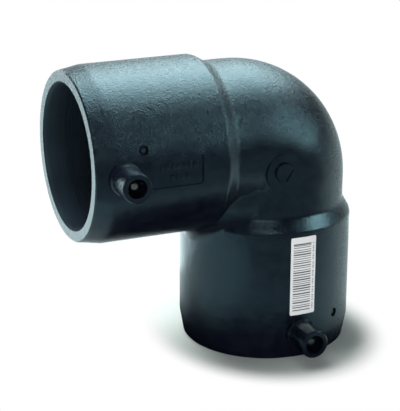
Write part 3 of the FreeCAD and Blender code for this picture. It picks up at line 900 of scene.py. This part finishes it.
class ELBOW_OT_studio(bpy.types.Operator):
    """Sets the floor, the lamps, the surroundings and the camera"""

    bl_idname = "elbow.studio"
    bl_label = "Studio"

    def execute(self, context):
        stage, colours = context.scene.elbow_stage, context.scene.elbow_colours
        self.floor(stage, colours)
        self.surroundings(context.scene, stage, colours)
        for name, settings in LIGHTS.items():
            self.lamp(name, *settings)
        for name, settings in CARDS.items():
            self.lamp(name, *settings, colours.card)
        self.lamp("spark_card", *SPARK_CARD, WHITE)
        low_card = self.lamp("low_card", *LOW_CARD, colours.card)
        low_card.rotation_euler = (math.pi, 0, 0)
        self.camera(context.scene, stage)
        context.scene.view_settings.view_transform = "Standard"
        return {"FINISHED"}

    def floor(self, stage, colours):
        """A pale grey-green table. Near the object the camera sees its real shadow on that darker
        colour, which paints a shadow halo round the base; further out it sees white.
        """
        clear_selection()
        bpy.ops.mesh.primitive_plane_add(size=stage.floor_size)
        floor = bpy.context.object
        floor.name = "studio_floor"
        fix_place(floor, Matrix.Translation((0, stage.floor_size / 2 - stage.floor_front, 0)))
        material = bpy.data.materials.new("studio_floor")
        material.use_nodes = True
        tree = material.node_tree
        tree.nodes.clear()
        nodes = Nodes(tree)
        here = nodes.node("ShaderNodeTexCoord", {}, {}, "Object")
        # Halo of painted shadow: near the object the camera sees the darker matt floor with its
        # real shadow in it, further out plain white
        squeeze = {0: here, 1: (stage.shadow_squeeze, 1, 1)}
        painted_halo_reach = nodes.reach(nodes.node("ShaderNodeVectorMath", {"operation": "MULTIPLY"}, squeeze))
        past_painted_halo = nodes.fade(painted_halo_reach, stage.shadow_start, stage.shadow_end)
        mirrored = nodes.ray("Glossy").either(nodes.ray("Transmission"))
        matt = nodes.node("ShaderNodeBsdfDiffuse", {}, {"Color": (*colours.floor, 1.0)})
        strength = 1 - mirrored * (1 - self.white_and_painted_shadow(nodes, here, stage))
        seen = nodes.blend(mirrored, WHITE, colours.card)
        white = nodes.node("ShaderNodeEmission", {}, {"Color": seen, "Strength": strength})
        share = (nodes.ray("Camera") * past_painted_halo).either(mirrored)
        mixed = nodes.node("ShaderNodeMixShader", {}, {0: share, 1: matt, 2: white})
        output = tree.nodes.new("ShaderNodeOutputMaterial")
        tree.links.new(mixed.socket, output.inputs["Surface"])
        floor.data.materials.append(material)

    @staticmethod
    def white_and_painted_shadow(nodes, here, stage):
        """What reflections see in the table: painted shadow near the object and in a strip to the
        left, and white further out.
        """
        reach = nodes.reach(here)
        # A strip of painted shadow, shifted to the left
        across = nodes.along(here, "X") + stage.painted_shadow_aside
        beside = nodes.fade(across.size(), stage.glow_start, stage.glow_end)
        rear = nodes.fade(nodes.along(here, "Y"), 0, stage.glow_end)
        clear = nodes.fade(reach, stage.glow_start, stage.glow_end)
        front = nodes.fade(reach, stage.glow_end, stage.front_end) * stage.front_glow
        return stage.floor_glow * (clear * beside.either(rear)).either(front)

    @staticmethod
    def surroundings(scene, stage, colours):
        """White to the camera. Otherwise dim, with a white backdrop behind and grey below."""
        world = bpy.data.worlds.new("studio")
        scene.world = world
        world.use_nodes = True
        nodes = Nodes(world.node_tree)
        ray = nodes.node("ShaderNodeTexCoord", {}, {}, "Generated")
        height = nodes.along(ray, "Z")
        behind = nodes.fade(nodes.along(ray, "Y"), *BACKDROP_BEHIND)
        backdrop = behind * nodes.fade(height, *BACKDROP_HEIGHT)
        below = nodes.fade(height, *ROOM_BELOW) * stage.front_room
        seen = stage.dim + (1 - stage.dim) * backdrop.either(below)
        strength = seen.either(nodes.ray("Camera"))
        tint = nodes.blend(nodes.ray("Glossy"), WHITE, colours.card)
        background = world.node_tree.nodes["Background"]
        world.node_tree.links.new(tint.socket, background.inputs["Color"])
        world.node_tree.links.new(strength.socket, background.inputs["Strength"])

    @staticmethod
    def lamp(name, place, sides, power, card=None):
        """A soft lamp aimed at the object, or a tinted card that only reflections see."""
        light = bpy.data.lights.new(name, "AREA")
        light.shape = "RECTANGLE"
        light.size, light.size_y = sides
        light.energy = power
        if card is not None:
            light.color = card
        lamp = bpy.data.objects.new(name, light)
        bpy.context.scene.collection.objects.link(lamp)
        lamp.visible_camera = False
        lamp.visible_diffuse = card is None
        lamp.visible_glossy = card is not None
        lamp.location = place
        lamp.rotation_euler = (Vector(place) - LAMP_AIM).to_track_quat("Z", "Y").to_euler()
        return lamp

    @staticmethod
    def camera(scene, stage):
        """A camera at the photo's angle."""
        back = Vector(
            (
                math.sin(stage.azimuth) * math.cos(stage.elevation),
                -math.cos(stage.azimuth) * math.cos(stage.elevation),
                math.sin(stage.elevation),
            )
        )
        level = Vector((math.cos(stage.azimuth), math.sin(stage.azimuth), 0))
        upright = back.cross(level)
        right = level * math.cos(stage.roll) + upright * math.sin(stage.roll)
        up = upright * math.cos(stage.roll) - level * math.sin(stage.roll)
        place = CAMERA_AIM + back * stage.distance + right * stage.aside + up * stage.above
        camera = bpy.data.cameras.new("photo_camera")
        camera.sensor_width = stage.sensor
        camera.lens = stage.lens
        camera.clip_start = stage.near
        holder = bpy.data.objects.new("photo_camera", camera)
        scene.collection.objects.link(holder)
        turn = Matrix((right, up, back)).transposed().to_4x4()
        holder.matrix_world = Matrix.Translation(place) @ turn
        scene.camera = holder


STEPS = (
    ELBOW_OT_moulding,
    ELBOW_OT_windings,
    ELBOW_OT_contact_pins,
    ELBOW_OT_fusion_indicators,
    ELBOW_OT_link,
    ELBOW_OT_label,
    ELBOW_OT_panel_marks,
    ELBOW_OT_dial_marks,
    ELBOW_OT_studio,
)


class ELBOW_PT_sidebar(bpy.types.Panel):
    """Steps that dress the elbow"""

    bl_idname = "ELBOW_PT_sidebar"
    bl_label = "Electrofusion elbow"
    bl_space_type = "VIEW_3D"
    bl_region_type = "UI"
    bl_category = "Elbow"

    def draw(self, context):
        column = self.layout.column()
        for step in STEPS:
            column.operator(step.bl_idname)
        for group in (
            context.scene.elbow_sizes,
            context.scene.elbow_colours,
            context.scene.elbow_stage,
        ):
            box = self.layout.box()
            for name in group.__annotations__:
                box.prop(group, name)


GROUPS = {"elbow_sizes": ElbowSizes, "elbow_colours": ElbowColours, "elbow_stage": ElbowStage}
CLASSES = (*GROUPS.values(), *STEPS, ELBOW_PT_sidebar)


def register():
    for item in CLASSES:
        bpy.utils.register_class(item)
    for name, group in GROUPS.items():
        setattr(bpy.types.Scene, name, PointerProperty(type=group))


def unregister():
    for name in GROUPS:
        delattr(bpy.types.Scene, name)
    for item in reversed(CLASSES):
        bpy.utils.unregister_class(item)


def main():
    register()
    for step in STEPS:
        getattr(bpy.ops.elbow, step.bl_idname.split(".")[1])()


if __name__ == "__main__":
    main()
